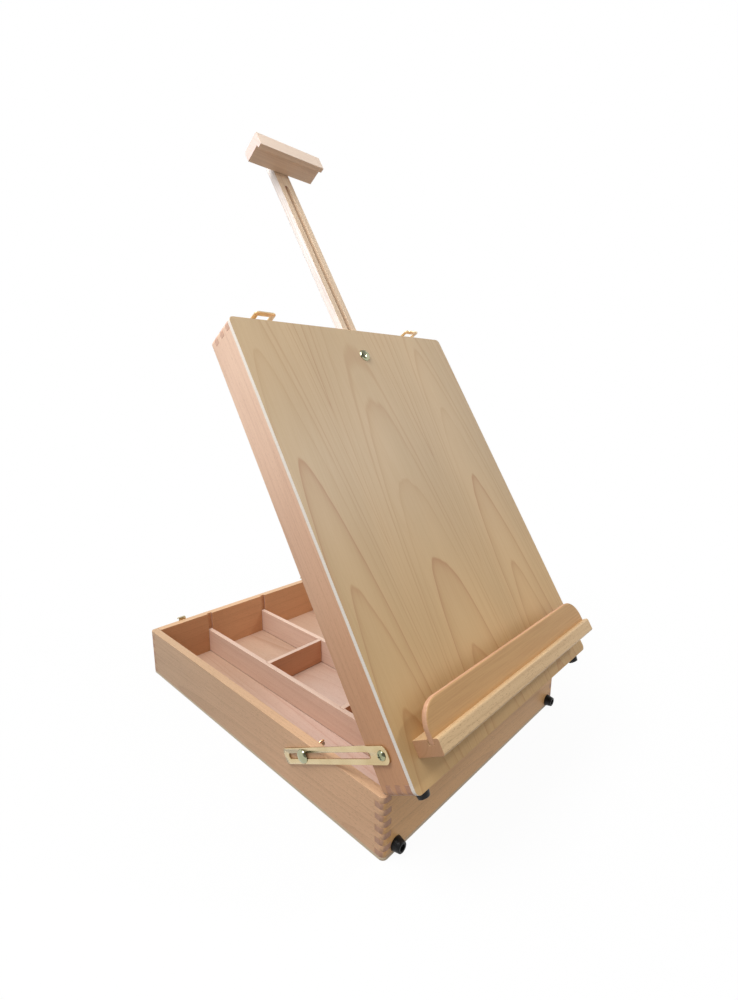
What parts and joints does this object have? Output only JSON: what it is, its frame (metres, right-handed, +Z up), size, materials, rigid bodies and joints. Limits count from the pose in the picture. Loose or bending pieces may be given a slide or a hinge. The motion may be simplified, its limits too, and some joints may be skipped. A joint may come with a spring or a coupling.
{
  "type": "box easel",
  "caption": "Finger-jointed beech box whose lid opens as a sloping drawing board, with canvas ledge, sliding mast, slotted stays, toggle latches and divided tray.",
  "frame": {"origin": "centre of the underside of the base box, on the surface it stands on", "axes": "+Z up, +Y from the hinged front edge to the back wall, +X to the right seen from the front; lid open at its working angle"},
  "size_m": [0.3206, 0.4737, 0.648],
  "materials": {
    "beech_walls": "satin-oiled beech",
    "beech_dividers": "satin-oiled beech",
    "beech_lid_rails": "satin-oiled beech",
    "beech_ledge": "satin-oiled beech",
    "beech_mast": "satin-oiled pale beech",
    "plywood_board": "satin-sealed plywood face",
    "plywood_lip": "satin-sealed plywood face",
    "plywood_bottom": "bare plywood",
    "yellow_passivated": "satin yellow-passivated steel",
    "brass_fittings": "bright brass-plated sheet",
    "steel_fasteners": "bright zinc-plated steel",
    "rubber_feet": "black moulded rubber"
  },
  "bodies": {
    "base": {"base_front_wall": "beech_walls", "base_back_wall": "beech_walls", "base_left_wall": "beech_walls", "base_right_wall": "beech_walls", "base_bottom_panel": "plywood_bottom", "divider_left": "beech_dividers", "divider_right": "beech_dividers", "divider_cross_rear": "beech_dividers", "divider_cross_front": "beech_dividers", "base_feet": "rubber_feet", "base_feet_screws": "steel_fasteners", "hinge_leaves_base": "brass_fittings", "hinge_pins": "brass_fittings", "hinge_screws_base": "brass_fittings", "latch_strikes": "brass_fittings", "latch_strike_screws": "brass_fittings", "handle_brackets": "brass_fittings", "handle_bracket_screws": "brass_fittings", "stay_studs": "steel_fasteners", "stay_washers": "steel_fasteners"},
    "lid": {"lid_left_rail": "beech_lid_rails", "lid_right_rail": "beech_lid_rails", "lid_bottom_rail": "beech_lid_rails", "lid_top_rail": "beech_lid_rails", "drawing_board": "plywood_board", "ledge_block": "beech_ledge", "ledge_lip": "plywood_lip", "ledge_screws": "steel_fasteners", "lid_feet": "rubber_feet", "lid_feet_screws": "steel_fasteners", "hinge_leaves_lid": "brass_fittings", "hinge_screws_lid": "brass_fittings", "stay_pivot_screws": "yellow_passivated", "mast_bolt": "yellow_passivated", "mast_washer": "steel_fasteners", "latch_plates": "brass_fittings", "latch_plate_screws": "brass_fittings", "latch_pins": "brass_fittings"},
    "mast": {"mast_bar": "beech_mast", "mast_block": "beech_mast", "mast_block_screws": "steel_fasteners"},
    "mast_nut": {"mast_wing_nut": "steel_fasteners"},
    "stay_left": {"stay_bar_left": "yellow_passivated"},
    "stay_right": {"stay_bar_right": "yellow_passivated"},
    "clamp_bolt_left": {"stay_bolt_left": "yellow_passivated"},
    "clamp_bolt_right": {"stay_bolt_right": "yellow_passivated"},
    "stay_nut_left": {"stay_wing_nut_left": "steel_fasteners"},
    "stay_nut_right": {"stay_wing_nut_right": "steel_fasteners"},
    "lever_left": {"latch_lever_left": "brass_fittings", "latch_crank_pin_left": "brass_fittings"},
    "lever_right": {"latch_lever_right": "brass_fittings", "latch_crank_pin_right": "brass_fittings"},
    "bail_left": {"latch_bail_left": "brass_fittings"},
    "bail_right": {"latch_bail_right": "brass_fittings"},
    "handle": {"carry_handle": "brass_fittings"}
  },
  "joints": [
    {"name": "lid_hinge", "type": "hinge", "parent": "base", "child": "lid", "pos_m": [0, -0.2125, 0.0602], "axis": [1, 0, 0], "range_deg": [-58, 32]},
    {"name": "mast_slide", "type": "slide", "parent": "lid", "child": "mast", "axis": [0, 0.5299, 0.848], "range_m": [-0.2193, 0.095]},
    {"name": "mast_nut_turn", "type": "hinge", "parent": "lid", "child": "mast_nut", "pos_m": [0, -0.02286, 0.40181], "axis": [0, -0.848, 0.5299], "continuous": true},
    {"name": "stay_pivot_left", "type": "hinge", "parent": "lid", "child": "stay_left", "pos_m": [-0.156, -0.20894, 0.10043], "axis": [1, 0, 0], "range_deg": [-32, 58]},
    {"name": "stay_slide_left", "type": "slide", "parent": "stay_left", "child": "clamp_bolt_left", "axis": [0, 0.8732, -0.4873], "range_m": [-0.037, 0.0205]},
    {"name": "stay_nut_turn_left", "type": "hinge", "parent": "base", "child": "stay_nut_left", "pos_m": [-0.14, -0.1116, 0.0461], "axis": [1, 0, 0], "continuous": true},
    {"name": "latch_lever_left_turn", "type": "hinge", "parent": "lid", "child": "lever_left", "pos_m": [-0.1095, 0.00137, 0.42889], "axis": [1, 0, 0], "range_deg": [0, 105]},
    {"name": "latch_bail_left_turn", "type": "hinge", "parent": "lever_left", "child": "bail_left", "pos_m": [-0.1095, 0.00613, 0.43332], "axis": [1, 0, 0], "range_deg": [-285, 0]},
    {"name": "stay_pivot_right", "type": "hinge", "parent": "lid", "child": "stay_right", "pos_m": [0.156, -0.20894, 0.10043], "axis": [1, 0, 0], "range_deg": [-32, 58]},
    {"name": "stay_slide_right", "type": "slide", "parent": "stay_right", "child": "clamp_bolt_right", "axis": [0, 0.8732, -0.4873], "range_m": [-0.037, 0.0205]},
    {"name": "stay_nut_turn_right", "type": "hinge", "parent": "base", "child": "stay_nut_right", "pos_m": [0.14, -0.1116, 0.0461], "axis": [1, 0, 0], "continuous": true},
    {"name": "latch_lever_right_turn", "type": "hinge", "parent": "lid", "child": "lever_right", "pos_m": [0.1095, 0.00137, 0.42889], "axis": [1, 0, 0], "range_deg": [0, 105]},
    {"name": "latch_bail_right_turn", "type": "hinge", "parent": "lever_right", "child": "bail_right", "pos_m": [0.1095, 0.00613, 0.43332], "axis": [1, 0, 0], "range_deg": [-285, 0]},
    {"name": "handle_swing", "type": "hinge", "parent": "base", "child": "handle", "pos_m": [0, 0.215, 0.04], "axis": [1, 0, 0], "range_deg": [-3, 170]}
  ],
  "couplings": [
    {"joint": "stay_pivot_left", "follows": "lid_hinge", "ratio": -1},
    {"joint": "stay_slide_left", "follows": "lid_hinge", "m_per_rad": 0.0365},
    {"joint": "latch_bail_left_turn", "follows": "latch_lever_left_turn", "ratio": -2.714},
    {"joint": "stay_pivot_right", "follows": "lid_hinge", "ratio": -1},
    {"joint": "stay_slide_right", "follows": "lid_hinge", "m_per_rad": 0.0365},
    {"joint": "latch_bail_right_turn", "follows": "latch_lever_right_turn", "ratio": -2.714}
  ]
}
